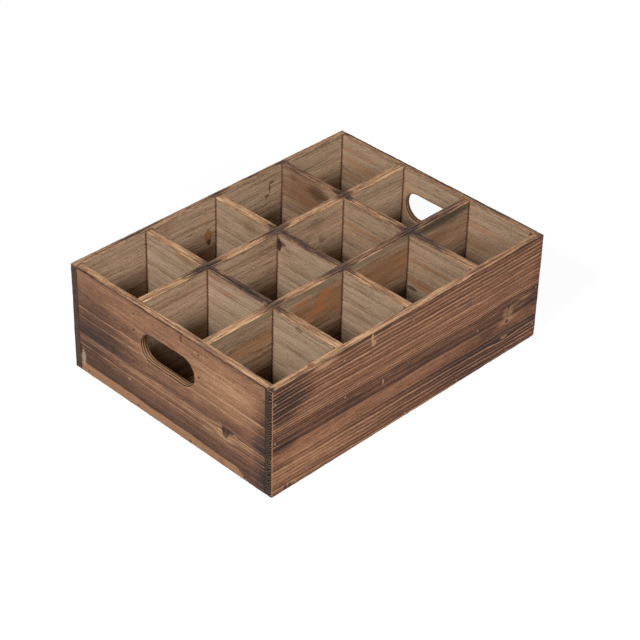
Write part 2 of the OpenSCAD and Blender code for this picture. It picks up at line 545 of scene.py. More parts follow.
# %% A value that changes over a surface
def wire(term, slot):
    """Puts a number, a colour, a socket or a Value into an input."""
    if isinstance(term, Value):
        term = term.socket
    if isinstance(term, bpy.types.NodeSocket):
        slot.id_data.links.new(term, slot)
    else:
        slot.default_value = term


def maths(operation, *terms):
    """One Math node on numbers and Values."""
    tree = next(t.socket.id_data for t in terms if isinstance(t, Value))
    node = tree.nodes.new("ShaderNodeMath")
    node.operation = operation
    for term, slot in zip(terms, node.inputs):
        wire(term, slot)
    return Value(node.outputs[0])


class Value:
    """A number that changes over a surface."""

    def __init__(self, socket):
        self.socket = socket

    def __add__(self, other):
        return maths("ADD", self, other)

    def __radd__(self, other):
        return maths("ADD", other, self)

    def __sub__(self, other):
        return maths("SUBTRACT", self, other)

    def __rsub__(self, other):
        return maths("SUBTRACT", other, self)

    def __mul__(self, other):
        return maths("MULTIPLY", self, other)

    def __rmul__(self, other):
        return maths("MULTIPLY", other, self)

    def __truediv__(self, other):
        return maths("DIVIDE", self, other)

    def __pow__(self, other):
        return maths("POWER", self, other)

    def __abs__(self):
        return maths("ABSOLUTE", self)


# %% A finish and its nodes
def colour(red, green, blue):
    """A colour as seen on a screen, 0 to 255 each, as the linear values of a shader."""
    def linear(level):
        level /= 255
        return level / 12.92 if level <= 0.04045 else ((level + 0.055) / 1.055) ** 2.4
    return (linear(red), linear(green), linear(blue), 1.0)


class Finish:
    """A material, and the one method that adds any node to it."""

    def __init__(self, name):
        self.material = bpy.data.materials.new(name)
        self.material.use_nodes = True
        self.tree = self.material.node_tree
        self.tree.nodes.clear()

    def add(self, kind, settings=None, inputs=None):
        """Any node: its type, its settings, then the values or links of its sockets."""
        node = self.tree.nodes.new("ShaderNode" + kind)
        for name, value in (settings or {}).items():
            if name == "stops":
                ramp = node.color_ramp
                while len(ramp.elements) < len(value):
                    ramp.elements.new(0.5)
                for element, (place, shade) in zip(ramp.elements, value):
                    element.position = place
                    element.color = shade
            else:
                setattr(node, name, value)
        for key, term in (inputs or {}).items():
            wire(term, node.inputs[key])
        return node

    def vector(self, x, y, z):
        return self.add("CombineXYZ", None, {0: x, 1: y, 2: z}).outputs[0]

    def cloud(self, place, detail=2.0, rough=0.5):
        """Noise around 0, at a place given in lumps."""
        node = self.add("TexNoise", None, {"Vector": place, "Scale": 1.0, "Detail": detail,
                                           "Roughness": rough})
        return Value(node.outputs[0]) - 0.5

    def line(self, where, detail):
        """Noise around 0 along a single number."""
        node = self.add("TexNoise", {"noise_dimensions": "1D"},
                        {"W": where, "Scale": 1.0, "Detail": detail})
        return Value(node.outputs[0]) - 0.5

    def dice(self, number):
        """A chance number from 0 to 1 for each whole number."""
        node = self.add("TexWhiteNoise", {"noise_dimensions": "1D"}, {"W": number})
        return Value(node.outputs[0])

    def stretch(self, value, low, high, start, end):
        """Straight from start at low to end at high, and level beyond them."""
        node = self.add("MapRange", None, {"Value": value, "From Min": low, "From Max": high,
                                           "To Min": start, "To Max": end})
        return Value(node.outputs[0])

    def fade(self, value, start, end):
        """0 at start, 1 at end, smooth between."""
        low, high = min(start, end), max(start, end)
        node = self.add("MapRange", {"interpolation_type": "SMOOTHSTEP"},
                        {"Value": value, "From Min": low, "From Max": high})
        ramp = Value(node.outputs[0])
        return 1 - ramp if start > end else ramp

    def shades(self, value, stops):
        """A colour read off a ramp."""
        return self.add("ValToRGB", {"stops": stops}, {0: value}).outputs[0]

    def curve(self, value, stops, reach):
        """A number read off a row of (place, number) stops, places from 0 to reach."""
        greys = [(place / reach, (level, level, level, 1)) for place, level in stops]
        return Value(self.shades(value / reach, greys))

    def blend(self, share, under, over):
        """One colour over another, by a share from 0 to 1."""
        node = self.add("Mix", {"data_type": "RGBA", "blend_type": "MIX", "clamp_factor": True},
                        {0: share, 6: under, 7: over})
        return node.outputs[2]


# %% [markdown]
# ## Wood from growth rings
# A board is a slice out of a trunk, so its grain is a slice through a stack of growth
# rings. The shader works in millimetres of the board: s runs along the grain, u up its
# face and v into it. Each board lists its rings from the bottom up, as a joiner would
# read them off the plank: how many rings lie between two heights. In each ring the wood
# goes slowly from soft early wood to the hard late wood line, then starts again.

# %% Board coordinates
PER_METRE = 1000


def board_places(f, along, across, through, origin, inward):
    """s, u and v in millimetres, from the piece's own coordinates."""
    split = f.add("SeparateXYZ", None, {0: f.add("TexCoord").outputs["Object"]})
    axes = {name: Value(split.outputs[k]) * PER_METRE for k, name in enumerate(AXES)}
    return axes[along], axes[across], (axes[through] - origin) * inward


# %% Growth rings
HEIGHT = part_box("front_side")[1].z / MM
LATE_WIDTH = 0.9
FOOT_WIDTH = 1.3
WIDEST_RING = 20.0
STACK_TOP = 152.0
SEED_STEP = 37.0


def growth(f, s, u, v, grain):
    """The grain's own height, the late wood line, the dark foot, and a number for the ring."""
    seed = grain["seed"] * SEED_STEP
    slow = f.cloud(f.vector(s / 170 + seed, u / 60, v / 60), 1.0)
    quick = f.cloud(f.vector(s / 40 + seed, u / 8, v / 8), 2.0)
    height = u + slow * grain["wander"] + quick * grain["waver"] + v * grain["tilt"]
    height = height + s * (grain["lean"] - u * grain.get("fan", 0.0))
    for (knot_s, knot_u), (long, wide), push in grain.get("knots", ()):
        ds, du = s - knot_s, u - knot_u
        near = maths("EXPONENT", 0 - ds * ds / (2 * long * long) - du * du / (2 * wide * wide))
        height = height - near * du * push
    uneven = height + f.line(height / 9 + seed, 2.0) * grain["uneven"]
    phase, widths = 0.0, []
    for low, high, count in grain["rings"]:
        phase = f.stretch(uneven, low, high, 0.0, count) + phase
        share = (high - low) / count / WIDEST_RING
        widths += [(max(low, 0.0), share), (max(high - 0.1, 0.0), share)]
    part = maths("FRACT", phase)
    width = f.curve(uneven, widths, STACK_TOP) * WIDEST_RING
    late = maths("EXPONENT", (part - 1) * width / LATE_WIDTH)
    foot = maths("EXPONENT", 0 - part * width / FOOT_WIDTH)
    return height, late, foot, f.dice(maths("FLOOR", phase) + seed)


def fibres(f, s, u, v, seed):
    """Fine and wide streaks along the grain, the raggedness of a mark's edge, and specks."""
    fine = f.cloud(f.vector(s / 12 + seed, u / 1.0, v / 1.0), 3.0, 0.6)
    wide = f.cloud(f.vector(s / 60 + seed, u / 4, v / 4), 3.0, 0.6)
    ragged = f.cloud(f.vector(s / 9 + seed, u / 2.2, v / 2.2), 3.0, 0.6)
    speck = f.cloud(f.vector(s / 2.6 + seed, u / 1.3, v / 1.3), 2.0, 0.6)
    return fine, wide, ragged, speck


# %% Marks
LENS_POWER = 1.4
SMALL_MARK = 14


def spot(f, s, u, middle, reach, ragged, soft):
    """1 in a lens-shaped mark, 0 outside it, with a ragged edge."""
    ds, du = abs(s - middle[0]) / reach[0], abs(u - middle[1]) / reach[1]
    return f.fade(ds ** LENS_POWER + du ** LENS_POWER + ragged, 1.0, soft)


def patched(f, s, u, tone, patches, ragged):
    """Lighter and darker patches: place, reach, and how much is added to the tone."""
    for middle, reach, amount in patches:
        tone = tone + spot(f, s, u, middle, reach, ragged, 0.0) * amount
    return tone


def marked(f, s, u, skin, marks, ragged):
    """Knots and stains over a skin: place, reach, colour and strength. Small ones are crisp."""
    for middle, reach, tint, strength in marks:
        soft = 0.6 if max(reach) < SMALL_MARK else 0.1
        share = spot(f, s, u, middle, reach, ragged * 0.6, soft) * strength
        skin = f.blend(share, skin, tint)
    return skin


# %% [markdown]
# ## Scorched faces, greyed insides
# The outside was scorched and brushed: early wood burnt dark, and the hard late wood
# stayed as thin light lines. The inside was only stained and has greyed. The rim was
# sanded back to tan wood after scorching, and the saw's cuts show dark end grain. All of
# it is one wood, so one material holds these skins and blends them by where on the
# board a point lies.

# %% Colours
def ramp_of(*shades):
    """Ramp stops from (place, red, green, blue)."""
    return [(place, colour(*rgb)) for place, *rgb in shades]


SCORCHED = ramp_of((0.0, 41, 33, 30), (0.2, 69, 50, 41), (0.4, 102, 71, 55), (0.5, 118, 84, 64),
                   (0.6, 134, 96, 72), (0.75, 158, 116, 86), (0.9, 180, 140, 107), (1.0, 198, 160, 126))
RUDDY = ramp_of((0.0, 42, 29, 25), (0.2, 69, 45, 34), (0.4, 101, 66, 48), (0.5, 118, 80, 58),
                (0.6, 136, 94, 68), (0.75, 160, 115, 83), (0.9, 181, 140, 105), (1.0, 198, 160, 126))
AGED = ramp_of((0.0, 54, 40, 31), (0.3, 110, 86, 66), (0.5, 146, 120, 97), (0.7, 171, 147, 122),
               (1.0, 200, 176, 150))
SANDED = ramp_of((0.0, 42, 34, 33), (0.25, 82, 64, 55), (0.5, 129, 96, 73), (0.75, 173, 133, 98),
                 (1.0, 206, 169, 133))
DARK_END = ramp_of((0.0, 24, 18, 15), (0.5, 56, 42, 32), (1.0, 124, 98, 74))
BROWN_END = ramp_of((0.0, 38, 29, 27), (0.5, 80, 58, 48), (1.0, 138, 104, 82))
HOLE_CUT = ramp_of((0.0, 36, 26, 21), (0.5, 116, 84, 60), (1.0, 202, 160, 120))
CHAR = colour(46, 36, 33)
DARK_BROWN = colour(78, 52, 40)
RED_BROWN = colour(112, 66, 44)
ORANGE = colour(160, 92, 50)
OLIVE = colour(112, 98, 78)
PALE = colour(190, 150, 112)
BARE = colour(184, 160, 140)
SMOKE = colour(88, 70, 68)
SEAM = colour(80, 48, 34)
WARM_STAIN = colour(158, 116, 80)


# %% One skin each
RING_SPREAD = 0.12
EDGE_BLUR = 0.6


def scorched_skin(f, s, u, grain, rings, streaks):
    """The outside of a wall."""
    (height, late, foot, lot), (fine, wide, ragged, speck) = rings, streaks
    tone = f.curve(height, grain["bands"], HEIGHT) + (lot - 0.5) * RING_SPREAD
    tone = patched(f, s, u, tone, grain["patches"], ragged)
    lines = (late * (lot + 0.4) - foot * 0.26) * grain["line"] * (1.8 - tone * 1.6)
    tone = tone + lines + fine * 0.70 + wide * 0.65 + speck * 0.50 - 0.065
    if "sapwood" in grain:
        top, start, end = grain["sapwood"]
        above = u - (top - f.fade(s, start, end) * top + wide * 4 - s * grain["lean"])
        pale = f.stretch(above, -EDGE_BLUR, EDGE_BLUR, 0.60, 0.0)
        tone = pale + tone * f.stretch(above, -EDGE_BLUR, EDGE_BLUR, 0.42, 1.0)
    burnt = f.fade(u + ragged * 3, HEIGHT - 2.2, HEIGHT - 0.6) * 0.35
    return marked(f, s, u, f.shades(tone - burnt, grain["palette"]), grain["marks"], ragged)


def aged_skin(f, s, u, look, rings, streaks):
    """The greyed inside of a wall, or a face of a divider, with painted shade low in the cells."""
    (_, late, foot, lot), (fine, wide, ragged, speck) = rings, streaks
    tone = look["tone"] + (lot - 0.5) * RING_SPREAD + late * 0.06 - foot * 0.12
    tone = tone + fine * 0.66 + wide * 0.66 + speck * 0.55
    if look.get("upright", True):
        burnt = f.fade(u + ragged * 4, HEIGHT - 4, HEIGHT) * 0.15
        # Painted shade: the tone gets darker from 66 mm down to 26 mm height, standing in for the shadow
        # deep in the cells.
        tone = tone - f.fade(u, 66, 26) * 0.16 - burnt
    tone = patched(f, s, u, tone, look.get("patches", ()), ragged)
    warm = f.fade(wide, -0.02, 0.2) * look.get("warmth", 0.42)
    skin = f.blend(warm, f.shades(tone, AGED), WARM_STAIN)
    skin = marked(f, s, u, skin, look.get("marks", ()), ragged)
    if "seams" not in look:
        return skin
    start, pitch, ends = look["seams"]
    beside = maths("PINGPONG", s - start, pitch / 2)
    beside = maths("MINIMUM", beside, ends + 5 - abs(s)) + ragged * 2 + speck * 3
    return f.blend(f.fade(beside, 7.0, 5.8) * 0.8, skin, SEAM)


def sanded_skin(f, s, u, v, look, seed, streaks):
    """The sanded upper edge of a board."""
    fine, wide, ragged, speck = streaks
    streak = f.cloud(f.vector(s / 24 + seed, u / 30, v / 1.2), 3.0, 0.6)
    thread = f.cloud(f.vector(s / 55 + seed, u / 30, v / 0.9), 2.0, 0.6)
    tone = look["tone"] + streak * 1.5 + fine * 0.4 + speck * 0.5
    tone = tone - f.fade(thread, 0.03, 0.13) * 0.35
    tone = patched(f, s, v, tone, look["patches"], ragged)
    return marked(f, s, v, f.shades(tone, SANDED), look.get("marks", ()), ragged)


WAXED_GLOSS = 0.12


def dressed(f, skin, rough, relief, depth):
    """A Principled shader with this colour, roughness and relief, on the output."""
    bump = f.add("Bump", None, {"Height": relief, "Distance": depth, "Strength": 1.0})
    shader = f.add("BsdfPrincipled", None, {"Base Color": skin, "Roughness": rough,
                                            "Normal": bump.outputs[0]})
    shader.inputs["Specular IOR Level"].default_value = WAXED_GLOSS
    f.add("OutputMaterial", None, {0: shader.outputs[0]})
    return f.material


# %% [markdown]
# A wall carries all the skins. A side shows its end grain at the crate's corners. An end
# has the hand hole, whose cut wall runs through the growth layers, so it shows them as
# lines that follow the hole's outline.

# %% The wood of a wall
THICK = 9.0
BARE_ARRIS = colour(158, 120, 92)
ARC_PITCH = 3.3
LAYER_PITCH = 2.9
HOLE_REACH = 44.5
POCKETS_REACH = 131.0


def wall_wood(name, grain, places):
    """The wood of a wall: scorched outside, sanded rim, greyed inside, dark cuts."""
    f = Finish(name)
    s, u, v = board_places(f, *places)
    rings = growth(f, s, u, v, grain)
    fine, wide, ragged, speck = streaks = fibres(f, s, u, v, grain["seed"])
    reach = grain["reach"]
    skin = scorched_skin(f, s, u, grain, rings, streaks)
    if "arris" in grain:
        worn = f.fade(s * grain["arris"] + ragged * 4, reach - 2.2, reach - 0.8) * 0.7
        skin = f.blend(worn, skin, BARE_ARRIS)
    if "end_grain" in grain:
        bent = f.cloud(f.vector(grain["seed"] * SEED_STEP, u / 14, v / 7), 2.0) * 14
        arc = maths("FRACT", (u + v * v * 0.14 + bent) / ARC_PITCH)
        cut = f.shades(arc ** 3.0 * 1.5 - 0.18 + wide * 0.9 + speck * 1.2, grain["end_grain"])
        skin = f.blend(f.fade(abs(s), reach - 0.6, reach - 0.2), skin, cut)
    else:
        bent = f.cloud(f.vector(s / 24, u / 24, v / 14), 1.0) * 0.8
        layer = maths("FRACT", v / LAYER_PITCH + bent)
        gap = maths("EXPONENT", 0 - layer * 2.2) * 1.35
        lip = f.shades(1.0 - gap + speck * 0.6 - f.fade(v, 1.7, 0.8) * 0.8, HOLE_CUT)
        cut = f.fade(v, 0.4, 0.8)
        skin = f.blend(cut * f.fade(abs(s), POCKETS_REACH, POCKETS_REACH - 1), skin, CHAR)
        by_hole = f.fade(abs(s - HOLE_MIDDLE), HOLE_REACH, HOLE_REACH - 1)
        skin = f.blend(cut * by_hole, skin, lip)
        skin = f.blend(f.fade(abs(s) + ragged, reach - 1.4, reach - 0.5) * 0.8, skin, CHAR)
    inside = aged_skin(f, s, u, grain["inside"], rings, streaks)
    between = f.fade(abs(s), grain["inner"], grain["inner"] - 0.5)
    skin = f.blend(f.fade(v, THICK - 1.0, THICK - 0.4) * between, skin, inside)
    rim = sanded_skin(f, s, u, v, grain["rim"], grain["seed"], streaks)
    top = f.fade(u, HEIGHT - 0.9, HEIGHT - 0.4)
    skin = f.blend(top * f.fade(v, THICK - 3.5, THICK - 2.0), skin, inside)
    wrap = THICK - grain["rim"]["wrap"]
    skin = f.blend(top * f.fade(v + ragged * 1.5, wrap + 0.6, wrap - 0.3), skin, rim)
    relief = rings[1] * 0.6 + fine * 1.2
    return dressed(f, skin, 0.62 + fine * 0.5, relief, 0.35 * MM)


# %% [markdown]
# Each wall's table lists what was seen on the photographed plank: rings, light and dark
# bands by height, patches, knots and scuffs, and the same for its inside and its rim.
# The back and the right end aren't seen from outside and take after their partners.

# %% Front side
SIDE_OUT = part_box("front_side")[0].y / MM
END_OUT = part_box("left_end")[0].x / MM
ACROSS_GRID = (0.0, 100.0, 190.7)
ALONG_GRID = (50.0, 97.0, 141.0)

FRONT_GRAIN = {
    "seed": 3, "reach": 200.0, "inner": 190.5, "end_grain": DARK_END, "arris": -1,
    "palette": RUDDY,
    "lean": 0.028, "fan": 0.000167, "wander": 8.0, "waver": 2.6, "tilt": 0.6, "uneven": 3.0,
    "line": 0.60,
    "rings": [(-12, 36, 10), (36, 52.5, 1), (52.5, 66, 2), (66, 84, 6), (84, 150, 14)],
    "knots": [((150, 58), (14, 7), 1.1), ((149, 44), (14, 6), 1.1), ((146, 27), (13, 5), 1.1),
              ((-44, 63), (5, 3), 0.7)],
    "bands": [(0, 0.52), (14, 0.47), (34, 0.42), (36.5, 0.68), (51.5, 0.68), (53, 0.34), (72, 0.38),
              (86, 0.58), (98, 0.56), (112, 0.46), (132, 0.48)],
    "patches": [((-185, 108), (54, 32), -0.50), ((-185, 56), (26, 9), -0.28),
                ((-150, 26), (130, 28), 0.20), ((110, 22), (170, 34), -0.26),
                ((120, 44), (24, 10), -0.16), ((185, 48), (24, 12), -0.18),
                ((200, 70), (18, 90), -0.14)],
    "marks": [((150, 53), (11, 15), PALE, 0.38), ((149, 44), (20, 4.5), PALE, 0.32),
              ((154, 60), (20, 3.2), PALE, 0.3), ((146, 25), (7, 3.2), PALE, 0.4),
              ((176, 62), (16, 3), PALE, 0.3), ((149, 57), (4.4, 4.4), RED_BROWN, 0.7),
              ((151, 62), (3.4, 3.0), CHAR, 0.9), ((149, 44), (3.4, 2.8), CHAR, 1.0),
              ((147, 29), (5.4, 4.0), DARK_BROWN, 0.7), ((150, 51), (2.4, 3.5), DARK_BROWN, 0.6),
              ((-62.5, 127), (2.8, 6), PALE, 0.6), ((-60.5, 119.5), (4, 4.4), PALE, 0.6),
              ((-128, 128), (24, 5), PALE, 0.6), ((84, 100), (4, 9), SMOKE, 0.55),
              ((-44, 63), (1.6, 4), PALE, 0.6), ((-181, 4), (2.6, 4.5), CHAR, 0.8),
              ((-175, 4), (2.0, 4.5), CHAR, 0.8)],
    "inside": {"tone": 0.58, "seams": ACROSS_GRID},
    "rim": {"tone": 0.74, "wrap": 0.4,
            "patches": [((0, 0.0), (900, 1.3), -0.55), ((120, 4.5), (90, 2.2), -0.25),
                        ((-199, 4), (7, 9), -0.6), ((198, 4), (8, 9), -0.3)],
            "marks": [((-143, 5.5), (5, 2.8), RED_BROWN, 0.8),
                      ((120, 4.5), (85, 1.8), RED_BROWN, 0.5)]},
}

# %% Back side
BACK_GRAIN = {
    **FRONT_GRAIN, "seed": 8, "end_grain": BROWN_END, "arris": 1, "lean": -0.014,
    "knots": [((-60, 84), (14, 6), 0.9)],
    "rings": [(-12, 24, 9), (24, 44, 2), (44, 150, 26)],
    "patches": [((170, 100), (60, 34), -0.30), ((-40, 20), (150, 24), -0.18),
                ((-150, 60), (70, 30), 0.14)],
    "marks": [((-60, 84), (8, 9), PALE, 0.35), ((-60, 84), (3, 3), CHAR, 0.9),
              ((90, 30), (12, 3), PALE, 0.3)],
    "inside": {"tone": 0.58, "seams": ACROSS_GRID,
               "marks": [((-16.7, 87), (6.2, 11.5), DARK_BROWN, 0.7),
                         ((-16.7, 88), (4.8, 9.5), colour(142, 96, 58), 0.9),
                         ((-15.5, 79), (3.4, 4.4), CHAR, 0.8),
                         ((-76, 124), (4, 9), ORANGE, 0.4), ((79, 116.5), (5, 2.4), DARK_BROWN, 0.8),
                         ((76, 110), (1.8, 8), DARK_BROWN, 0.8), ((72, 101), (4, 2.6), DARK_BROWN, 0.8),
                         ((100, 118), (60, 4), OLIVE, 0.4)]},
    "rim": {"tone": 0.615, "wrap": 1.6,
            "patches": [((-110, 3.6), (52, 2.2), -0.5), ((-40, 3.8), (10, 2.0), -0.45),
                        ((50, 3.4), (18, 2.2), -0.35), ((2, 4), (22, 4), -0.45),
                        ((97, 4), (14, 4), -0.45), ((0, 0.0), (900, 0.9), -0.3)],
            "marks": [((-169, 4.5), (0.8, 6), CHAR, 0.8)]},
}

# %% Left end
LEFT_GRAIN = {
    "seed": 5, "reach": 141.0, "inner": 140.9, "palette": SCORCHED,
    "lean": -0.012, "wander": 5.0, "waver": 3.2, "tilt": 0.7, "uneven": 1.0, "line": 0.46,
    "rings": [(-12, 13, 2), (13, 32, 1), (32, 41, 2), (41, 51, 4), (51, 61, 1), (61, 72, 1),
              (72, 84, 1), (84, 98, 1), (98, 122, 1), (122, 150, 1)],
    "knots": [((-85, 45), (12, 7), 0.9)],
    "sapwood": (12.0, -96, -126),
    "bands": [(0, 0.50), (12, 0.38), (20, 0.44), (30, 0.54), (33, 0.57), (44, 0.60), (56, 0.55),
              (62, 0.62), (74, 0.68), (98, 0.75), (124, 0.70), (132, 0.62)],
    "patches": [((118, 68), (90, 62), -0.34), ((60, 93), (30, 11), -0.14),
                ((-145, 60), (30, 90), -0.38), ((-85, 100), (72, 30), 0.14)],
    "marks": [((-82, 38), (20, 7), PALE, 0.5), ((-58, 35), (16, 3.5), PALE, 0.45),
              ((-88, 50), (20, 3.4), SMOKE, 0.8), ((-89, 49), (9, 3), CHAR, 0.8),
              ((-84, 45), (6.5, 8.5), DARK_BROWN, 0.9), ((-81, 47), (2.6, 6.0), CHAR, 0.8),
              ((-88, 48), (3.0, 3.2), CHAR, 0.9),
              ((-20, 126), (2.2, 5.5), colour(96, 50, 40), 0.85), ((11, 116), (2, 1.8), RED_BROWN, 0.9),
              ((62, 31), (3, 2), PALE, 0.5), ((136.5, 20), (5.4, 15), BARE, 0.75),
              ((-78, 5), (6, 4), RED_BROWN, 0.3)],
    "inside": {"tone": 0.58, "seams": ALONG_GRID},
    "rim": {"tone": 0.69, "wrap": 0.4,
            "patches": [((0, 0.0), (900, 1.5), -0.5), ((-30, 4.6), (110, 1.5), -0.18)]},
}

# %% Right end
RIGHT_GRAIN = {
    **LEFT_GRAIN, "seed": 11, "lean": 0.010, "knots": [((70, 40), (12, 6), 0.9)],
    "patches": [((-90, 80), (80, 50), -0.25), ((60, 30), (90, 24), 0.15)],
    "marks": [((70, 40), (8, 7), PALE, 0.3), ((70, 40), (3, 3), CHAR, 0.9)],
    "inside": {"tone": 0.60, "seams": ALONG_GRID,
               "marks": [((0, 104), (800, 6), colour(150, 106, 70), 0.45),
                         ((0, 84), (800, 16), colour(124, 90, 62), 0.5),
                         ((112, 117), (60, 4), ORANGE, 0.3),
                         ((90, 98), (60, 8), colour(130, 86, 54), 0.5),
                         ((0, 84), (70, 30), DARK_BROWN, 0.35)]},
    "rim": {"tone": 0.565, "wrap": 1.6, "patches": [((0, 1.0), (900, 3.4), -0.4)]},
}
del RIGHT_GRAIN["sapwood"]

finishes = {
    front_plank: wall_wood("front_fir", FRONT_GRAIN, ("X", "Z", "Y", SIDE_OUT, 1)),
    back_plank: wall_wood("back_fir", BACK_GRAIN, ("X", "Z", "Y", -SIDE_OUT, -1)),
    left_plank: wall_wood("left_fir", LEFT_GRAIN, ("Y", "Z", "X", END_OUT, 1)),
    right_plank: wall_wood("right_fir", RIGHT_GRAIN, ("Y", "Z", "X", -END_OUT, -1)),
}
print("wall finishes:", [material.name for material in finishes.values()])


# %% [markdown]
# The dividers were stained like the inside of the walls. Their upper edges were caught by
# the torch where boards cross, and rubbed light between.

# %% Divider wood
def divider_wood(name, grain, places):
    """The wood of a divider: greyed faces and a scorched, rubbed upper edge."""
    f = Finish(name)
    s, u, v = board_places(f, *places)
    rings = growth(f, s, u, v, grain)
    fine, wide, ragged, speck = streaks = fibres(f, s, u, v, grain["seed"])
    skin = aged_skin(f, s, u, grain, rings, streaks)
    if "top" in grain:
        top = sanded_skin(f, s, u, v, grain["top"], grain["seed"], streaks)
        skin = f.blend(f.fade(u, HEIGHT - 0.8, HEIGHT - 0.4), skin, top)
    relief = rings[1] * 0.4 + fine * 1.2
    return dressed(f, skin, 0.7 + fine * 0.4, relief, 0.2 * MM)


def plain_rings(seed, count, lowest=-12):
    """The grain of a quiet board with this many rings from bottom to top."""
    return {"seed": seed, "lean": 0.012 * (seed % 3 - 1), "wander": 9.0, "waver": 2.6, "tilt": 0.5,
            "uneven": 12.0, "rings": [(lowest, 150, count)]}


# %% Tables of the dividers
LONG_GRAINS = [
    {**plain_rings(21, 26), "tone": 0.41, "seams": ACROSS_GRID,
     "marks": [((-150, 100), (90, 9), colour(140, 100, 64), 0.5), ((-150, 116), (90, 4), OLIVE, 0.5),
               ((20, 102), (240, 28), colour(120, 82, 50), 0.72), ((0, 129), (800, 6), OLIVE, 0.6),
               ((148, 127), (80, 12), colour(62, 53, 41), 0.9), ((-66, 118.5), (18, 4), ORANGE, 0.6),
               ((-31, 116), (10, 6), ORANGE, 0.6), ((-38, 106), (5, 9), ORANGE, 0.5),
               ((-40, 99), (24, 4), ORANGE, 0.55), ((-56, 92), (12, 3), ORANGE, 0.5)],
     "top": {"tone": 0.72, "patches": [((-160, 5), (40, 7), 0.08), ((-102, 5), (34, 12), -0.42),
                                       ((-4, 5), (50, 12), -0.45), ((118, 5), (120, 16), -0.34),
                                       ((100, 5), (24, 12), -0.2), ((60, 2.5), (150, 1.4), -0.25)]}},
    {**plain_rings(25, 22), "tone": 0.55, "seams": ACROSS_GRID,
     "patches": [((64, 92), (8, 6), -0.2), ((0, 70), (100, 110), -0.10)],
     "marks": [((54, 118), (20, 12), colour(112, 86, 62), 0.55), ((62, 108), (44, 3), WARM_STAIN, 0.6),
               ((60, 97), (4, 4), DARK_BROWN, 0.4), ((-140, 112), (60, 6), ORANGE, 0.15)],
     "top": {"tone": 0.74, "patches": [((-104, 5), (40, 12), -0.55), ((-2, 5), (30, 12), -0.52),
                                       ((100, 5), (18, 12), -0.6), ((-80, 4), (60, 1.2), -0.35),
                                       ((50, 5), (48, 9), 0.12), ((56, 8.4), (46, 1.2), -0.35)]}},
]
CROSS_GRAINS = [
    {**plain_rings(31, 20), "tone": 0.63, "warmth": 0.2, "seams": ALONG_GRID,
     "marks": [((-89, 126), (7, 4), DARK_BROWN, 0.5), ((10, 118), (16, 3), WARM_STAIN, 0.5),
               ((18, 114), (10, 2), ORANGE, 0.3), ((34, 127), (16, 4), colour(128, 92, 62), 0.5),
               ((78, 127), (26, 9), colour(128, 88, 60), 0.55)],
     "top": {"tone": 0.77, "patches": [((-3, 5), (94, 16), -0.54), ((-52, 5), (24, 12), -0.2),
                                       ((50, 5), (20, 12), -0.25), ((0, 4), (80, 1.4), -0.3),
                                       ((-105, 3), (40, 0.9), -0.3), ((-105, 7), (40, 0.9), -0.25)]}},
    {**plain_rings(35, 24), "tone": 0.61, "warmth": 0.15, "seams": ALONG_GRID,
     "patches": [((88, 118), (14, 20), -0.12)],
     "marks": [((38, 122), (8, 3.4), DARK_BROWN, 0.8), ((42, 119), (4.6, 10), CHAR, 0.95),
               ((36, 115), (4, 2.4), PALE, 0.5), ((88, 120), (40, 14), colour(132, 98, 70), 0.35)],
     "top": {"tone": 0.77, "patches": [((2, 5), (100, 16), -0.48), ((-56, 5), (20, 12), -0.12),
                                       ((50, 5), (20, 12), -0.2), ((10, 6), (100, 1.4), -0.3),
                                       ((-108, 3), (36, 0.9), -0.3), ((-108, 7), (36, 0.9), -0.25)]}},
    {**plain_rings(39, 20), "tone": 0.58, "seams": ALONG_GRID,
     "patches": [((0, 60), (160, 16), -0.06), ((110, 100), (70, 60), -0.12)],
     "marks": [((0, 103), (300, 4.5), colour(152, 104, 66), 0.5), ((0, 93), (300, 4), PALE, 0.3),
               ((-80, 76), (90, 8), colour(136, 88, 54), 0.6), ((-60, 67), (10, 3), CHAR, 0.7),
               ((104, 112), (56, 34), colour(122, 82, 54), 0.6), ((84, 120), (26, 15), DARK_BROWN, 0.75),
               ((122, 124), (14, 6), RED_BROWN, 0.5), ((76, 106), (5, 8), DARK_BROWN, 0.5)],
     "top": {"tone": 0.62, "patches": [((-70, 5), (50, 14), -0.34), ((-47, 5), (20, 12), -0.2),
                                       ((50, 5), (24, 12), -0.5), ((116, 5), (36, 12), -0.25),
                                       ((90, 5), (22, 1.2), -0.3), ((-90, 5), (30, 1.2), -0.3)]}},
]

# %% Dress the boards
for k, board in enumerate(long_boards):
    low_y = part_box(LONG_NODES[k])[0].y / MM
    finishes[board] = divider_wood(f"long_fir_{k + 1}", LONG_GRAINS[k], ("X", "Z", "Y", low_y, 1))
for k, board in enumerate(cross_boards):
    low_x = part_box(CROSS_NODES[k])[0].x / MM
    finishes[board] = divider_wood(f"cross_fir_{k + 1}", CROSS_GRAINS[k], ("Y", "Z", "X", low_x, 1))
FLOOR_GRAIN = {**plain_rings(41, 80, lowest=-150), "tone": 0.46, "upright": False}
finishes[floor_board] = divider_wood("floor_fir", FLOOR_GRAIN, ("X", "Y", "Z", 0.0, 1))

for piece, material in finishes.items():
    piece.data.materials.clear()
    piece.data.materials.append(material)
print("finished boards:", len(finishes))

# %% [markdown]
# The nail heads in the sides still shine a little, and those in the ends went dark with
# the scorching. Metal needs something to vary too, so rust clouds over the wire.

# %% Nail wire
RUST = colour(70, 50, 40)
RUST_PER_METRE = 900.0


def nail_steel(name, base, dulled):
    """Dull wire, a little rusty."""
    f = Finish(name)
    place = f.add("TexCoord").outputs["Object"]
    scaled = f.add("VectorMath", {"operation": "SCALE"}, {0: place, "Scale": RUST_PER_METRE})
    rust = f.cloud(scaled.outputs[0], 3.0, 0.6)
    shade = f.blend(f.fade(rust, -0.05, 0.15) * dulled, base, RUST)
    shader = f.add("BsdfPrincipled", None, {"Base Color": shade, "Metallic": 0.6,
                                            "Roughness": 0.5 + rust * 0.3})
    f.add("OutputMaterial", None, {0: shader.outputs[0]})
    return f.material


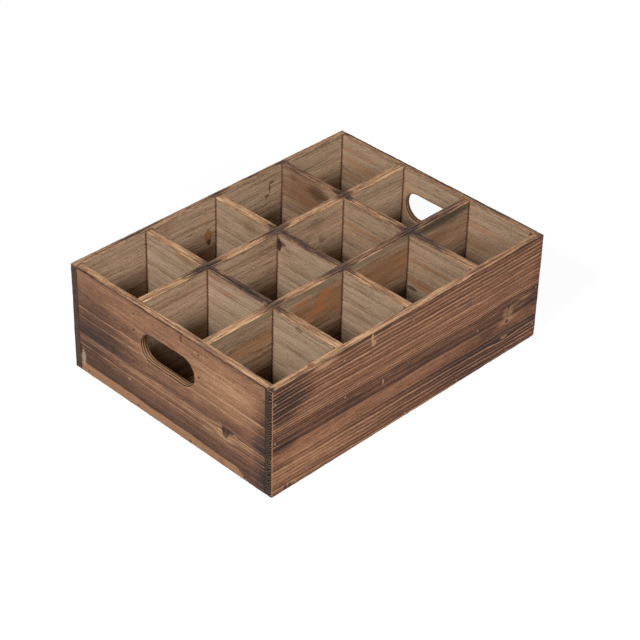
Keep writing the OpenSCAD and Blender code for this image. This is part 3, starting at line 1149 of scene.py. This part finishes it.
bright_wire = nail_steel("bright_wire", colour(164, 146, 126), 0.7)
dark_wire = nail_steel("dark_wire", colour(42, 34, 30), 0.4)
nail_nodes = [name for name in nodes if name.endswith("_nails")]
for name in nail_nodes:
    in_end = name.startswith(("left", "right"))
    nodes[name].data.materials.clear()
    nodes[name].data.materials.append(dark_wire if in_end else bright_wire)
print("nail groups with a wire finish:", len(nail_nodes))

# %% [markdown]
# ## Floor, light and camera
# The crate stands on a pale floor that the camera sees as white, while it still takes a
# faint shadow. A softbox from the left lights the cells down to about half their depth,
# and a lower one from the front lights the long side.

# %% Floor
FLOOR_SIZE = 12
FLOOR_GREY = 0.3
SEEN_GREY, SEEN_GLOW = 0.2, 0.88

bpy.ops.object.select_all(action="DESELECT")
bpy.ops.mesh.primitive_plane_add(size=FLOOR_SIZE, location=(0, 0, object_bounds()[0][2]))
floor = bpy.context.object
floor.name = "studio_floor"


def seen_directly(path):
    """1 for what the camera sees, in a gloss or through glass too, and 0 for plain light."""
    camera_ray, glossy_ray, clear_ray = (
        Value(path.outputs[f"Is {kind} Ray"]) for kind in ("Camera", "Glossy", "Transmission"))
    return maths("MAXIMUM", maths("MAXIMUM", camera_ray, glossy_ray), clear_ray)


def grey(level):
    """A grey of this linear level."""
    return (level, level, level, 1)


def studio_white():
    """A pale floor that the camera sees as white, with a faint shadow."""
    f = Finish("studio_white")
    direct = seen_directly(f.add("LightPath"))
    plain = f.add("BsdfDiffuse", None, {"Color": grey(FLOOR_GREY)})
    dim = f.add("BsdfDiffuse", None, {"Color": grey(SEEN_GREY)})
    glow = f.add("Emission", None, {"Color": grey(1), "Strength": SEEN_GLOW})
    bright = f.add("AddShader", None, {0: dim.outputs[0], 1: glow.outputs[0]})
    mix = f.add("MixShader", None, {0: direct, 1: plain.outputs[0], 2: bright.outputs[0]})
    f.add("OutputMaterial", None, {0: mix.outputs[0]})
    return f.material


floor.data.materials.append(studio_white())

# %% World
SKY_LIGHT, SKY_SEEN = 0.06, 1.0

world = bpy.data.worlds.new("studio")
bpy.context.scene.world = world
world.use_nodes = True
sky = world.node_tree
sky.nodes.clear()
sky_mix = sky.nodes.new("ShaderNodeMixShader")
wire(seen_directly(sky.nodes.new("ShaderNodeLightPath")), sky_mix.inputs[0])
for slot, strength in ((1, SKY_LIGHT), (2, SKY_SEEN)):
    background = sky.nodes.new("ShaderNodeBackground")
    wire(grey(1), background.inputs["Color"])
    wire(strength, background.inputs["Strength"])
    wire(background.outputs[0], sky_mix.inputs[slot])
wire(sky_mix.outputs[0], sky.nodes.new("ShaderNodeOutputWorld").inputs[0])
print("world light:", SKY_LIGHT)


# %% Lamps
def softbox(name, place, size, power, aim=(0, 0, 0.06)):
    """A square lamp at a place, turned towards the crate."""
    bpy.ops.object.select_all(action="DESELECT")
    bpy.ops.object.light_add(type="AREA", location=place)
    lamp = bpy.context.object
    lamp.name = name
    lamp.data.size = size
    lamp.data.energy = power
    lamp.rotation_euler = (Vector(aim) - Vector(place)).to_track_quat("-Z", "Y").to_euler()
    return lamp


lamps = [softbox("key_softbox", (-2.3, -0.25, 2.02), 0.65, 85),
         softbox("fill_softbox", (-0.35, -2.55, 1.56), 0.75, 73)]
print("lamps:", [lamp.name for lamp in lamps])

# %% [markdown]
# The photograph's perspective was solved from the eight corners of the box, which gives
# the camera's place, its directions and its lens.

# %% Camera
LENS, SENSOR = 114.069, 36
FARTHEST = 20
CAMERA_PLACE = Vector((-1.25986, -1.23946, 1.30191))
CAMERA_LOOK = Vector((0.584, 0.567, -0.58091))
CAMERA_RIGHT = Vector((0.70731, -0.70658, 0.02142))

look = CAMERA_LOOK.normalized()
right = (CAMERA_RIGHT - look * CAMERA_RIGHT.dot(look)).normalized()
up = right.cross(look)
camera_data = bpy.data.cameras.new("camera")
camera = bpy.data.objects.new("camera", camera_data)
bpy.context.scene.collection.objects.link(camera)
turned = Matrix((right, up, -look)).transposed().to_4x4()
camera.matrix_world = Matrix.Translation(CAMERA_PLACE) @ turned
camera_data.lens = LENS
camera_data.sensor_width = SENSOR
camera_data.clip_end = FARTHEST
bpy.context.scene.camera = camera
bpy.context.scene.view_settings.view_transform = "Standard"
print("camera at", tuple(CAMERA_PLACE), "with a lens of", LENS, "mm")
